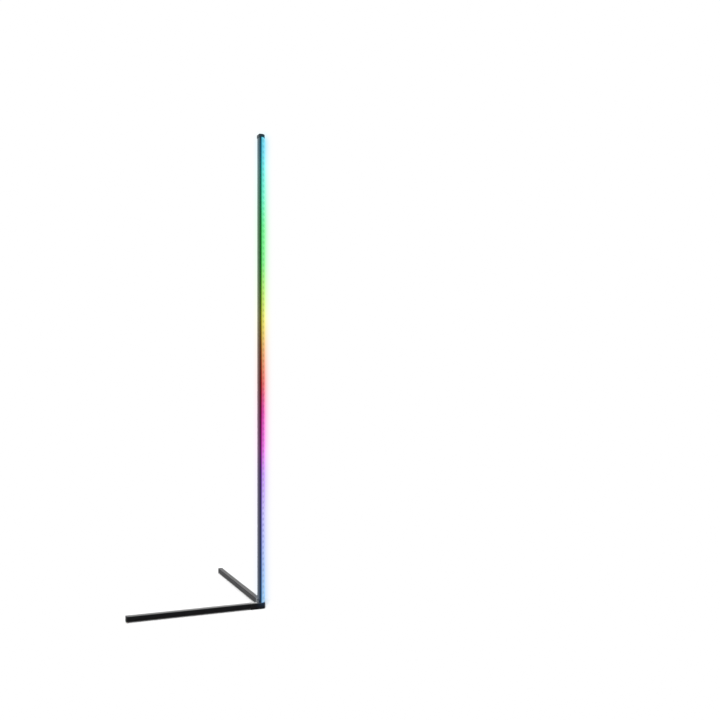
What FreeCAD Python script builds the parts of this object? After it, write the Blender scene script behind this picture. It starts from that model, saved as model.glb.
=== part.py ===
import FreeCAD, Part
import math
import os
import re
import Sketcher

# Corner floor lamp. A tall V-shaped aluminium extrusion stands in a moulded elbow; two hollow
# legs run from the elbow along the walls of a room corner. The round opal front of the pole
# looks into that corner.
#
# World frame: Z up, the floor is z = 0, and the origin is where the axes of the two legs cross.
# The near leg runs along -X, the far leg along +Y, and the light leaves along (+1, -1, 0).
# All lengths are in millimetres.

Vector = FreeCAD.Vector
doc = FreeCAD.newDocument("CornerFloorLamp")
sheet = doc.addObject("Spreadsheet::Sheet", "Sizes")

SIZES = {
    "Whole lamp": {
        "totalHeight": (1400, "floor to the top of the cap"),
        "legReach": (410, "axis crossing to the outer end of a leg"),
        "poleInset": (13.4, "axis crossing to the planes of the pole's back"),
    },
    "Pole extrusion": {
        "poleArm": (18.6, "width of each back face"),
        "poleWall": (1.3, "wall of the back and of the lips"),
        "frontCentre": (7, "back edge to the centre of the round front"),
        "lipHalf": (9.4, "half the window between the lips"),
        "webFront": (9.2, "back edge to the seat of the tape"),
        "webWall": (1.2, "wall behind the tape"),
        "portRadius": (1.7, "screw port in the hollow behind the tape"),
        "portWall": (1.2, "ring round the screw port"),
    },
    "Diffuser": {
        "diffuserWall": (1.4, "round front"),
        "snapGap": (0.15, "play between diffuser and lips"),
        "snapWall": (1, "snap leg"),
        "snapDrop": (2.2, "barb top to the tip of the snap leg"),
        "barbOut": (0.7, "barb under the lip"),
        "barbLand": (0.6, "flat side of the barb"),
    },
    "Light tape": {
        "tapeWide": (10, "flexible circuit"),
        "tapeThick": (0.3, "flexible circuit"),
        "foamThick": (0.5, "adhesive foam under the circuit"),
        "tapeFoot": (25, "floor to the lower end of the tape"),
        "tapeHead": (4, "upper end of the tape below the end of the pole"),
        "chipSide": (5, "package, square"),
        "chipThick": (1.6, "package"),
        "chipPitch": (16.6667, "sixty packages to the metre"),
        "chipStart": (14, "lower end of the tape to the first package"),
        "partWide": (1.6, "chip capacitor, along the tape's width"),
        "partDeep": (0.8, "chip capacitor, other sides"),
    },
    "Top cap": {
        "capHeight": (9.2, "whole cap"),
        "capPlate": (2.4, "top of the cap, over the pole"),
        "capOverhang": (1.2, "cap beyond the pole, all round"),
        "capFit": (0.15, "play between cap and pole"),
        "capRound": (0.8, "side corners"),
        "capEdge": (0.4, "bevel round the top"),
        "pegLength": (9, "locating peg in the screw port"),
        "pegFit": (0.1, "play of the peg in the port"),
    },
    "Legs": {
        "legWide": (14, "tube"),
        "legTall": (15, "tube"),
        "legWall": (1.2, "tube"),
        "legRound": (0.8, "long edges of the tube"),
        "legLift": (3.4, "floor to the underside of the tube"),
        "endThick": (4, "end cap, outside the tube"),
        "endSide": (0.8, "end cap beyond the tube, each side"),
        "endOver": (0.5, "end cap beyond the tube, above and below"),
        "endRound": (2, "corners of the end cap"),
        "endBevel": (0.7, "outer rim of the end cap"),
        "plugLength": (14, "plug of the end cap in the tube"),
        "plugWall": (1.6, "wall of the plug"),
        "plugFit": (0.12, "play of plug and tongue in the tube"),
        "footWide": (11, "rubber foot, across the leg"),
        "footThick": (3, "rubber foot, along the leg"),
        "footSeat": (0.8, "rubber foot let into the end cap"),
        "footRound": (1, "corners of the rubber foot"),
    },
    "Corner connector": {
        "armReach": (41.4, "axis crossing to the end of an arm"),
        "cornerRound": (9, "outer corner, in plan"),
        "standOff": (1, "floor to the underside"),
        "collarWall": (1.4, "collar behind the pole"),
        "collarRise": (7.1, "collar above the arms"),
        "collarRound": (1.2, "back edge of the collar"),
        "socketFit": (0.2, "play of the pole in its socket"),
        "socketFloor": (8, "floor to the seat of the pole"),
        "tongueLength": (30, "tongue inside a leg"),
        "armWall": (2, "side walls and roof of an arm"),
        "topBevel": (0.6, "upper rim"),
        "ductTop": (7, "floor to the roof of the wire duct"),
        "ductSide": (1.9, "side of the wire duct to the leads that drop into it"),
        "wireHole": (3.6, "radius of the hole under the tape"),
        "wireForward": (14.5, "pole's back edge to the wire hole"),
    },
    "Bottom cover": {
        "coverThick": (1.8, "plate"),
        "coverRim": (1.6, "connector wall round the plate"),
        "coverFit": (0.15, "play round the plate"),
        "coverScrewInset": (4, "end of an arm to a cover screw"),
        "coverScrewHead": (1.9, "radius"),
        "coverScrewSink": (1, "head height"),
        "coverScrewShank": (0.85, "radius"),
        "coverScrewLength": (5, "under the head"),
        "feetRadius": (3.3, "anti-slip feet"),
        "feetInset": (12.4, "end of an arm to the centre of its foot"),
    },
    "Fasteners": {
        "legScrewReach": (58, "axis crossing to a leg screw"),
        "legScrewHead": (4, "radius"),
        "legScrewHeadTall": (1.3, "height under the leg"),
        "legScrewShank": (1.45, "radius"),
        "legScrewLength": (9, "under the head"),
        "driveSize": (1.25, "half the socket in a screw head, across its corners"),
        "driveDeep": (0.8, "depth of that socket"),
        "insertRadius": (2.5, "threaded insert, outside"),
        "insertBore": (1.5, "threaded insert, thread"),
        "insertLength": (7, "threaded insert"),
        "poleScrewHead": (3.5, "radius"),
        "poleScrewHeadTall": (2.4, "height"),
        "poleScrewLength": (26, "under the head"),
        "poleDriveSize": (1.75, "half the socket in its head, across the corners"),
        "poleDriveDeep": (1.2, "depth of that socket"),
        "screwPlay": (0.15, "clearance holes"),
        "threadPlay": (0.05, "thread in its hole"),
    },
    "Inlet": {
        "inletReach": (27.5, "axis crossing to the socket"),
        "inletHeight": (9.5, "floor to the axis of the socket"),
        "inletFlange": (5, "radius of the flange"),
        "inletFlangeThick": (1.4, "flange outside the arm"),
        "inletBarrel": (3.9, "radius of the threaded barrel"),
        "inletLength": (7.4, "barrel behind the flange"),
        "inletBore": (3.1, "radius of the opening"),
        "inletBack": (1.2, "back wall of the socket"),
        "nutSide": (10, "ring nut, across the flats"),
        "nutThick": (1.8, "ring nut"),
        "inletRoom": (0.4, "cavity of an arm beyond the corners of the ring nut"),
        "pinSide": (0.8, "contacts, square"),
        "pinPlay": (0.05, "play round a contact"),
        "pinPitch": (1.8, "contacts, side by side"),
        "pinRecess": (1.6, "flange face to the tips of the contacts"),
        "pinTail": (1.4, "contacts behind the back wall"),
        "leadRadius": (0.5, "insulated lead"),
        "leadPitch": (1.1, "leads lying one over the other"),
        "leadSpread": (1.3, "leads side by side in the wire hole"),
        "leadClear": (0.05, "lead over what it lies on"),
        "leadRise": (2.5, "lead lying along the tape"),
        "leadTurn": (10, "lower end of the tape to where a lead turns towards it"),
    },
}


def fillSheet():
    row = 1
    for group, values in SIZES.items():
        sheet.set(f"A{row}", group)
        row += 1
        for name, (value, meaning) in values.items():
            sheet.set(f"A{row}", name)
            sheet.set(f"B{row}", str(value))
            sheet.set(f"C{row}", meaning)
            sheet.setAlias(f"B{row}", name)
            row += 1


NAMES = {name for values in SIZES.values() for name in values}
fillSheet()
doc.recompute()


# An expression written with bare names, ready for the document.
def bound(text):
    return re.sub(r"[A-Za-z]\w*", lambda word: "Sizes." + word[0] if word[0] in NAMES else word[0], text)


def number(text):
    return float(sheet.evalExpression(bound(text)))


def place(text):
    return "(" + text + ")"


# Heights, widths and outlines, written as expressions of the sizes.

LEG_TOP = "(legLift + legTall)"
LEG_MID = "(legLift + legTall / 2)"
LEG_END = "(legReach - endThick)"
ARM_HALF = "(legWide / 2)"
POLE_TOP = "(totalHeight - capPlate)"
COVER_TOP = "(standOff + coverThick)"
COLLAR_TOP = "(legLift + legTall + collarRise)"
BLOCK_BACK = "(poleInset + socketFit + collarWall)"
TONGUE_HALF = "(legWide / 2 - legWall - plugFit)"
TONGUE_TALL = "(legTall - 2 * legWall - 2 * plugFit)"
TONGUE_FOOT = "(legLift + legWall + plugFit)"
FRONT_RADIUS = "sqrt(poleArm ^ 2 / 2 + (poleArm * sqrt(0.5) - frontCentre) ^ 2)"
WEB_BACK = "(webFront - webWall)"
HOLLOW_DEEP = "(webFront - webWall - poleWall * sqrt(2))"
PORT_AT = f"({WEB_BACK} - {HOLLOW_DEEP} * (sqrt(2) - 1))"
TAPE_FACE = "(webFront + foamThick + tapeThick)"
INLET_FACE = "(legWide / 2 + inletFlangeThick)"
INLET_END = "(legWide / 2 - inletLength)"
PIN_END = f"({INLET_END} - pinTail)"
LEAD_LANE = f"({PIN_END} + pinTail / 2)"
PAST = "1"  # how far a cut starts outside the face that it enters


# Height above the round front's centre of a point at a given half width on a given radius.
def onArc(half, radius):
    return f"(frontCentre + sqrt(({radius}) ^ 2 - ({half}) ^ 2))"


# Side corner of the pole's outline moved out by a gap: where the 45 degree line meets the arc.
def sideCorner(gap):
    shift = f"({gap}) * sqrt(2)"
    radius = f"({FRONT_RADIUS} + ({gap}))"
    along = f"((frontCentre - {shift} + sqrt(2 * {radius} ^ 2 - (frontCentre + {shift}) ^ 2)) / 2)"
    return f"({along} + {shift})", along


# V-shaped back and round front, moved out by a gap. X is across the pole, Y is forward.
def poleOutline(gap):
    across, along = sideCorner(gap)
    return [
        ("0", f"-({gap}) * sqrt(2)"),
        (across, along, f"{FRONT_RADIUS} + ({gap})", "out"),
        (f"-{across}", along),
    ]


def rounded(left, low, right, high, radius):
    left, low, right, high, radius = (place(text) for text in (left, low, right, high, radius))
    return [
        (f"{left} + {radius}", low),
        (f"{right} - {radius}", low, radius, "out"),
        (right, f"{low} + {radius}"),
        (right, f"{high} - {radius}", radius, "out"),
        (f"{right} - {radius}", high),
        (f"{left} + {radius}", high, radius, "out"),
        (left, f"{high} - {radius}"),
        (left, f"{low} + {radius}", radius, "out"),
    ]


def rectangle(left, low, right, high):
    return [(left, low), (right, low), (right, high), (left, high)]


def square(middle, half):
    return rectangle(f"{middle} - ({half})", f"-({half})", f"{middle} + ({half})", half)


def hexagon(radius):
    return [(f"({radius}) * cos({turn}°)", f"({radius}) * sin({turn}°)") for turn in range(0, 360, 60)]


def hold(sketch, kind, *where, text):
    index = sketch.addConstraint(Sketcher.Constraint(kind, *where, number(text)))
    sketch.setExpression(f"Constraints[{index}]", bound(text))


def arcBetween(here, there, radius, side):
    chord = there - here
    left = Vector(-chord.y, chord.x, 0).normalize()
    rise = math.sqrt(radius**2 - (chord.Length / 2) ** 2)
    centre = (here + there) / 2 + left * (rise if side == "out" else -rise)
    first, last = ((p - centre) for p in ((here, there) if side == "out" else (there, here)))
    circle = Part.Circle(centre, Vector(0, 0, 1), radius)
    return Part.ArcOfCircle(circle, math.atan2(first.y, first.x), math.atan2(last.y, last.x))


# A closed loop of corners, counter-clockwise. A corner with a radius starts an arc.
def addLoop(sketch, corners):
    base = sketch.GeometryCount
    points = [Vector(number(corner[0]), number(corner[1]), 0) for corner in corners]
    ends = []
    for index, corner in enumerate(corners):
        here, there = points[index], points[(index + 1) % len(corners)]
        turned = len(corner) == 4 and corner[3] == "in"
        ends.append((2, 1) if turned else (1, 2))
        if len(corner) == 4:
            sketch.addGeometry(arcBetween(here, there, number(corner[2]), corner[3]))
        else:
            sketch.addGeometry(Part.LineSegment(here, there))
    for index, corner in enumerate(corners):
        before = (index - 1) % len(corners)
        start = (base + index, ends[index][0])
        sketch.addConstraint(Sketcher.Constraint("Coincident", base + before, ends[before][1], *start))
        hold(sketch, "DistanceX", -1, 1, *start, text=corner[0])
        hold(sketch, "DistanceY", -1, 1, *start, text=corner[1])
        if len(corner) == 4:
            hold(sketch, "Radius", base + index, text=corner[2])


def addCircle(sketch, x, y, radius):
    circle = Part.Circle(Vector(number(x), number(y), 0), Vector(0, 0, 1), number(radius))
    index = sketch.addGeometry(circle)
    hold(sketch, "DistanceX", -1, 1, index, 3, text=x)
    hold(sketch, "DistanceY", -1, 1, index, 3, text=y)
    hold(sketch, "Radius", index, text=radius)


# A sketch of loops and circles at a height above one of the body's origin planes.
def draw(body, shapes, height="0", role="XY_Plane", centre=("0", "0"), turn=0):
    sketch = body.newObject("Sketcher::SketchObject", f"{body.Label}_sketch")
    plane = next(item for item in body.Origin.OriginFeatures if item.Role == role)
    sketch.AttachmentSupport = [(plane, "")]
    sketch.MapMode = "FlatFace"
    sketch.AttachmentOffset = FreeCAD.Placement(Vector(), FreeCAD.Rotation(Vector(0, 0, 1), turn))
    for axis, text in zip("xyz", (*centre, height)):
        sketch.setExpression(f"AttachmentOffset.Base.{axis}", bound(text))
    for shape in shapes:
        if isinstance(shape, tuple):
            addCircle(sketch, *shape)
        else:
            addLoop(sketch, shape)
    return sketch


# Material from one height to another.
def pad(body, shapes, low, high, **where):
    feature = body.newObject("PartDesign::Pad", f"{body.Label}_pad")
    feature.Profile = draw(body, shapes, low, **where)
    feature.setExpression("Length", bound(f"({high}) - ({low})"))
    return feature


# A cut from its upper height down to its lower one, or the other way round when up is set.
def pocket(body, shapes, low, high, up=False, **where):
    feature = body.newObject("PartDesign::Pocket", f"{body.Label}_pocket")
    feature.Profile = draw(body, shapes, low if up else high, **where)
    feature.Reversed = up
    feature.setExpression("Length", bound(f"({high}) - ({low})"))
    return feature


def bevel(body, feature, chosen, size, kind="Chamfer"):
    doc.recompute()
    edges = [f"Edge{index}" for index, edge in enumerate(feature.Shape.Edges, 1) if chosen(edge)]
    trim = body.newObject(f"PartDesign::{kind}", f"{body.Label}_{kind.lower()}")
    trim.Base = (feature, edges)
    trim.setExpression("Size" if kind == "Chamfer" else "Radius", bound(size))
    return trim


# Edges that lie wholly at a height.
def atHeight(text):
    return lambda edge: all(abs(vertex.Z - number(text)) < 1e-4 for vertex in edge.Vertexes)


# Edges that lie wholly in a plane across a leg.
def atReach(text):
    return lambda edge: all(abs(vertex.X - number(text)) < 1e-4 for vertex in edge.Vertexes)


def newBody(label):
    body = doc.addObject("PartDesign::Body", label)
    body.Label = label
    body.AllowCompound = True
    subParts.append(body)
    return body


# The pole's own frame: X across, Y forward, with the back edge on the Z axis.
def onPole(label):
    body = newBody(label)
    body.Placement = FreeCAD.Placement(Vector(), FreeCAD.Rotation(Vector(0, 0, 1), -135))
    body.setExpression("Placement.Base.x", bound("-poleInset"))
    body.setExpression("Placement.Base.y", bound("poleInset"))
    return body


# A leg's own frame: X outwards along the leg, from the crossing of the axes.
LEG_TURN = {"near": 180, "far": 90}


def onLeg(side, piece):
    body = newBody(f"{side}_{piece}")
    body.Placement = FreeCAD.Placement(Vector(), FreeCAD.Rotation(Vector(0, 0, 1), LEG_TURN[side]))
    return body


POLE_FRAME = {"centre": ("-poleInset", "poleInset"), "turn": -135}
subParts = []


# One extrusion: two back walls at a right angle, round lips in front, a web for the tape
# and, in the hollow behind the web, a ring-shaped port for a screw at each end.
def makePoleProfile():
    body = onPole("pole_profile")
    side = "(poleArm * sqrt(0.5))"
    inner = f"({FRONT_RADIUS} - poleWall)"
    lip = f"({inner} / {FRONT_RADIUS})"
    lipTop = onArc("lipHalf", FRONT_RADIUS)
    lipIn = (f"lipHalf * {lip}", f"frontCentre + ({lipTop} - frontCentre) * {lip}")
    cornerIn = sideCorner("-poleWall")
    seat = ("(webFront - poleWall * sqrt(2))", "webFront")
    outline = [
        ("0", "0"),
        (side, side, FRONT_RADIUS, "out"),
        ("lipHalf", lipTop),
        (*lipIn, inner, "in"),
        cornerIn,
        seat,
        (f"-{seat[0]}", seat[1]),
        (f"-{cornerIn[0]}", cornerIn[1], inner, "in"),
        (f"-{lipIn[0]}", lipIn[1]),
        ("-lipHalf", lipTop, FRONT_RADIUS, "out"),
        (f"-{side}", side),
    ]
    hollow = [
        ("0", "poleWall * sqrt(2)"),
        (HOLLOW_DEEP, WEB_BACK),
        (f"-{HOLLOW_DEEP}", WEB_BACK),
    ]
    pad(body, [outline, hollow], "socketFloor", POLE_TOP)
    pad(body, [("0", PORT_AT, "portRadius + portWall")], "socketFloor", POLE_TOP)
    pocket(body, [("0", PORT_AT, "portRadius")], "socketFloor", POLE_TOP)


# Round shell level with the lips; its two snap legs reach in and hook under them.
def makeDiffuser():
    body = onPole("diffuser")
    half = "(lipHalf - snapGap)"
    inner = f"({FRONT_RADIUS} - diffuserWall)"
    lip = f"(({FRONT_RADIUS} - poleWall) / {FRONT_RADIUS})"
    edge = onArc(half, FRONT_RADIUS)
    outFace = f"({half} * {lip})"
    shoulder = f"(frontCentre + ({edge} - frontCentre) * {lip})"
    barbSide = f"({outFace} + barbOut)"
    barbTop = f"({onArc(barbSide, f'{FRONT_RADIUS} - poleWall')} - snapGap)"
    inFace = f"({outFace} - snapWall)"
    hook = [
        (outFace, shoulder),
        (outFace, barbTop),
        (barbSide, barbTop),
        (barbSide, f"{barbTop} - barbLand"),
        (outFace, f"{barbTop} - snapDrop"),
        (inFace, f"{barbTop} - snapDrop"),
    ]
    mirrored = [(f"-{across}", along) for across, along in hook]
    ceiling = onArc(inFace, inner)
    outline = [
        (half, edge, FRONT_RADIUS, "out"),
        (f"-{half}", edge),
        *mirrored,
        (f"-{inFace}", ceiling, inner, "in"),
        (inFace, ceiling),
        *reversed(hook),
    ]
    pad(body, [outline], "socketFloor", POLE_TOP)


def makeTape():
    top = f"({POLE_TOP} - tapeHead)"
    for label, back, front in (
        ("tape_foam", "webFront", "webFront + foamThick"),
        ("tape_circuit", "webFront + foamThick", TAPE_FACE),
    ):
        body = onPole(label)
        pad(body, [rectangle("-tapeWide / 2", back, "tapeWide / 2", front)], "tapeFoot", top)
    count = f"floor(({top} - tapeFoot - 2 * chipStart) / chipPitch) + 1"
    chip = rectangle("-chipSide / 2", TAPE_FACE, "chipSide / 2", f"{TAPE_FACE} + chipThick")
    part = rectangle("-partWide / 2", TAPE_FACE, "partWide / 2", f"{TAPE_FACE} + partDeep")
    for label, shape, tall, rise in (
        ("light_chips", chip, "chipSide", "0"),
        ("tape_capacitors", part, "partDeep", "chipPitch / 2"),
    ):
        body = onPole(label)
        low = f"tapeFoot + chipStart + {rise} - {tall} / 2"
        first = pad(body, [shape], low, f"{low} + {tall}")
        row = body.newObject("PartDesign::LinearPattern", f"{label}_row")
        row.Originals = [first]
        row.Direction = (first.Profile[0], ["N_Axis"])
        row.setExpression("Occurrences", bound(count))
        row.setExpression("Length", bound(f"({count} - 1) * chipPitch"))
        body.Tip = row


# Follows the pole's outline, overhangs it all round, and has a peg for the screw port.
def makeTopCap():
    body = onPole("top_cap")
    low = "(totalHeight - capHeight)"
    block = pad(body, [poleOutline("capOverhang")], low, "totalHeight")
    across = number(sideCorner("capOverhang")[0])

    def sideEdge(edge):
        upright = edge.BoundBox.ZLength > number("capHeight / 2")
        return upright and all(abs(abs(vertex.X) - across) < 1e-3 for vertex in edge.Vertexes)

    block = bevel(body, block, sideEdge, "capRound", "Fillet")
    bevel(body, block, atHeight("totalHeight"), "capEdge")
    pocket(body, [poleOutline("capFit")], low, POLE_TOP)
    peg = ("0", PORT_AT, "portRadius - pegFit")
    pad(body, [peg], f"{POLE_TOP} - pegLength", f"{POLE_TOP} + capPlate / 2")


def makeLeg(side):
    tube = onLeg(side, "leg")
    half = ARM_HALF
    outside = rounded(f"-{half}", "legLift", half, LEG_TOP, "legRound")
    bore = f"({half} - legWall)"
    inside = rectangle(f"-{bore}", "legLift + legWall", bore, f"{LEG_TOP} - legWall")
    pad(tube, [outside, inside], "armReach", LEG_END, role="YZ_Plane")
    hole = ("legScrewReach", "0", "legScrewShank + screwPlay")
    pocket(tube, [hole], f"legLift - {PAST}", "legLift + 2 * legWall")

    cap = onLeg(side, "leg_cap")
    across = f"({half} + endSide)"
    plate = rounded(f"-{across}", "legLift - endOver", across, f"{LEG_TOP} + endOver", "endRound")
    flange = pad(cap, [plate], LEG_END, "legReach", role="YZ_Plane")
    bevel(cap, flange, atReach("legReach"), "endBevel")
    plug = rectangle(f"-{TONGUE_HALF}", TONGUE_FOOT, TONGUE_HALF, f"{TONGUE_FOOT} + {TONGUE_TALL}")
    core = rectangle(
        f"-{TONGUE_HALF} + plugWall",
        f"{TONGUE_FOOT} + plugWall",
        f"{TONGUE_HALF} - plugWall",
        f"{TONGUE_FOOT} + {TONGUE_TALL} - plugWall",
    )
    pad(cap, [plug, core], f"{LEG_END} - plugLength", LEG_END, role="YZ_Plane")
    middle = "(legReach - endThick / 2)"
    seat = "(legLift - endOver + footSeat)"
    slot = rectangle(
        f"{middle} - footThick / 2 - plugFit",
        "-footWide / 2 - plugFit",
        f"{middle} + footThick / 2 + plugFit",
        "footWide / 2 + plugFit",
    )
    pocket(cap, [slot], "0", seat)

    foot = onLeg(side, "leg_foot")
    left, right = f"{middle} - footThick / 2", f"{middle} + footThick / 2"
    pad(foot, [rounded(left, "-footWide / 2", right, "footWide / 2", "footRound")], "0", seat)

    screw = onLeg(side, "leg_screw")
    low = "(legLift - legScrewHeadTall)"
    head = pad(screw, [("legScrewReach", "0", "legScrewHead")], low, "legLift")
    bevel(screw, head, atHeight(low), "legScrewHeadTall / 2")
    pad(screw, [("legScrewReach", "0", "legScrewShank")], "legLift", "legLift + legScrewLength")
    drive = [(f"legScrewReach + {x}", y) for x, y in hexagon("driveSize")]
    pocket(screw, [drive], f"{low} - {PAST}", f"{low} + driveDeep")

    insert = onLeg(side, "leg_insert")
    sleeve = [("legScrewReach", "0", "insertRadius"), ("legScrewReach", "0", "insertBore")]
    pad(insert, sleeve, TONGUE_FOOT, f"{TONGUE_FOOT} + insertLength")


# Plan of the connector moved in by a rim: two arms, the block under the pole, a round corner.
def elbow(rim):
    half = f"({ARM_HALF} - ({rim}))"
    reach = f"(armReach - ({rim}))"
    back = f"({BLOCK_BACK} - ({rim}))"
    radius = f"(cornerRound - ({rim}))"
    return [
        (f"-{reach}", f"-{half}"),
        (f"{half} - {radius}", f"-{half}", radius, "out"),
        (half, f"-{half} + {radius}"),
        (half, reach),
        (f"-{half}", reach),
        (f"-{half}", back),
        (f"-{back}", back),
        (f"-{back}", half),
        (f"-{reach}", half),
    ]


# The same shape on both arms: written for the near arm and mirrored on the diagonal.
def onBothArms(loop):
    far = [(place(f"-({y})"), place(f"-({x})")) for x, y in loop]
    far.reverse()
    return [loop, far]


def circleOnBothArms(along, across, radius):
    return [(f"-({along})", across, radius), (f"-({across})", along, radius)]


def makeConnector():
    body = newBody("corner_connector")
    block = pad(body, [elbow("0")], "standOff", LEG_TOP)
    bevel(body, block, atHeight(LEG_TOP), "topBevel")

    # collar behind the pole
    faces = "(poleInset + socketFit)"
    tip = "(poleArm - poleInset)"
    collar = [
        (f"-{BLOCK_BACK}", f"-{tip}"),
        (f"-{faces}", f"-{tip}"),
        (f"-{faces}", faces),
        (tip, faces),
        (tip, BLOCK_BACK),
        (f"-{BLOCK_BACK} + collarRound", BLOCK_BACK, "collarRound", "out"),
        (f"-{BLOCK_BACK}", f"{BLOCK_BACK} - collarRound"),
    ]
    pad(body, [collar], f"{LEG_TOP} - 2 * topBevel", COLLAR_TOP)

    # tongues for the legs
    root = "(armReach - armWall)"
    tongue = rectangle("-(armReach + tongueLength)", f"-{TONGUE_HALF}", f"-{root}", TONGUE_HALF)
    pad(body, onBothArms(tongue), TONGUE_FOOT, f"{TONGUE_FOOT} + {TONGUE_TALL}")

    # socket for the pole, with the holes in its floor
    pocket(body, [poleOutline("socketFit")], "socketFloor", f"{COLLAR_TOP} + {PAST}", **POLE_FRAME)
    through = [("0", PORT_AT, "portRadius + screwPlay"), ("0", "wireForward", "wireHole")]
    pocket(body, through, "standOff", f"socketFloor + {PAST}", **POLE_FRAME)
    sink = ("0", PORT_AT, "poleScrewHead + screwPlay")
    pocket(body, [sink], "standOff", f"{COVER_TOP} + poleScrewHeadTall + screwPlay", **POLE_FRAME)

    # hollow arms, the duct from the inlet to the wire hole, and the seat of the cover
    half = f"({ARM_HALF} - armWall)"
    far = "-(inletReach + nutSide / sqrt(3) + inletRoom)"
    hollow = rectangle(far, f"-{half}", f"-({BLOCK_BACK} + armWall)", half)
    pocket(body, onBothArms(hollow), "standOff", f"{LEG_TOP} - armWall")
    holeX = "(-poleInset + wireForward * sqrt(0.5))"
    low, high = f"{LEAD_LANE} - ductSide", "poleInset - wireForward * sqrt(0.5)"
    duct = rectangle(f"-({BLOCK_BACK} + 2 * armWall)", low, f"{holeX} + wireHole", high)
    pocket(body, [duct], "standOff", "ductTop")
    pocket(body, [elbow("coverRim")], f"standOff - {PAST}", COVER_TOP)

    # screws of the cover, threaded inserts of the legs
    pilots = circleOnBothArms("armReach - coverScrewInset", "0", "coverScrewShank + threadPlay")
    pocket(body, pilots, "standOff", f"standOff + coverScrewLength + {PAST}")
    inserts = circleOnBothArms("legScrewReach", "0", "insertRadius + threadPlay")
    pocket(body, inserts, "legLift", f"{TONGUE_FOOT} + legScrewLength")

    # hole for the inlet, through the inner wall of the near arm
    hole = ("-inletReach", "inletHeight", "inletBarrel + screwPlay")
    low, high = f"-{ARM_HALF} - {PAST}", f"-{ARM_HALF} + armWall + screwPlay"
    pocket(body, [hole], low, high, up=True, role="XZ_Plane")


def makeCover():
    body = newBody("bottom_cover")
    pad(body, [elbow("coverRim + coverFit")], "standOff", COVER_TOP)
    holes = circleOnBothArms("armReach - coverScrewInset", "0", "coverScrewShank + screwPlay")
    pocket(body, holes, "standOff", COVER_TOP)
    sinks = circleOnBothArms("armReach - coverScrewInset", "0", "coverScrewHead + screwPlay")
    pocket(body, sinks, "standOff", "standOff + coverScrewSink + screwPlay")

    body = newBody("cover_screws")
    seat = "(standOff + coverScrewSink + screwPlay)"
    heads = circleOnBothArms("armReach - coverScrewInset", "0", "coverScrewHead")
    pad(body, heads, f"{seat} - coverScrewSink", seat)
    shanks = circleOnBothArms("armReach - coverScrewInset", "0", "coverScrewShank")
    pad(body, shanks, seat, f"standOff + coverScrewLength")

    body = newBody("connector_feet")
    feet = circleOnBothArms("armReach - feetInset", "0", "feetRadius")
    pad(body, [*feet, ("0", "0", "feetRadius")], "0", "standOff")


def makePoleScrew():
    body = onPole("pole_screw")
    seat = f"({COVER_TOP} + poleScrewHeadTall + screwPlay)"
    pad(body, [("0", PORT_AT, "poleScrewHead")], f"{seat} - poleScrewHeadTall", seat)
    pad(body, [("0", PORT_AT, "portRadius - threadPlay")], seat, f"{seat} + poleScrewLength")
    low = f"({seat} - poleScrewHeadTall)"
    drive = [(x, f"{PORT_AT} + {y}") for x, y in hexagon("poleDriveSize")]
    pocket(body, [drive], f"{low} - {PAST}", f"{low} + poleDriveDeep")


# The inlet's own frame lies on the socket's axis; heights here run from the world's y = 0
# outwards, so a depth into the arm is the smaller one.
def atInlet(label):
    body = newBody(label)
    body.setExpression("Placement.Base.x", bound("-inletReach"))
    body.setExpression("Placement.Base.z", bound("inletHeight"))
    return body


PIN_SPOTS = ["-pinPitch", "0", "pinPitch"]


# The plane's normal is -Y, so the distances are negated and run into the arm.
def across(shapes, near, deep):
    return {"shapes": shapes, "low": f"-({near})", "high": f"-({deep})", "role": "XZ_Plane"}


def makeInlet():
    shell = atInlet("inlet_socket")
    pad(shell, **across([("0", "0", "inletFlange")], INLET_FACE, ARM_HALF))
    pad(shell, **across([("0", "0", "inletBarrel")], ARM_HALF, INLET_END))
    pocket(shell, up=True, **across([("0", "0", "inletBore")], INLET_FACE, f"{INLET_END} + inletBack"))
    holes = [square(spot, "pinSide / 2 + pinPlay") for spot in PIN_SPOTS]
    pocket(shell, up=True, **across(holes, INLET_FACE, INLET_END))

    nut = atInlet("inlet_nut")
    inside = f"({ARM_HALF} - armWall)"
    ring = [hexagon("nutSide / sqrt(3)"), ("0", "0", "inletBarrel + threadPlay")]
    pad(nut, **across(ring, inside, f"{inside} - nutThick"))

    pins = atInlet("inlet_pins")
    contacts = [square(spot, "pinSide / 2") for spot in PIN_SPOTS]
    pad(pins, **across(contacts, f"{INLET_FACE} - pinRecess", PIN_END))


# Straight runs joined by tangent arcs, as large as the two runs at each point allow.
def softPath(points):
    edges = []
    radii = []
    here = points[0]
    for before, corner, after in zip(points, points[1:], points[2:]):
        inward, outward = (corner - before), (after - corner)
        share = 0.45 * min(inward.Length, outward.Length)
        turn = inward.getAngle(outward)
        radii.append(share / math.tan(turn / 2))
        inward.normalize()
        outward.normalize()
        start, end = corner - inward * share, corner + outward * share
        bisector = (outward - inward).normalize()
        middle = corner + bisector * (radii[-1] / math.cos(turn / 2) - radii[-1])
        edges.append(Part.LineSegment(here, start).toShape())
        edges.append(Part.Arc(start, middle, end).toShape())
        here = end
    edges.append(Part.LineSegment(here, points[-1]).toShape())
    return Part.Wire(edges), radii


# Pole frame to world.
def fromPole(across, forward, height):
    turn = math.sqrt(0.5)
    inset = number("poleInset")
    return Vector(-inset - (across - forward) * turn, inset - (across + forward) * turn, height)


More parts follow.
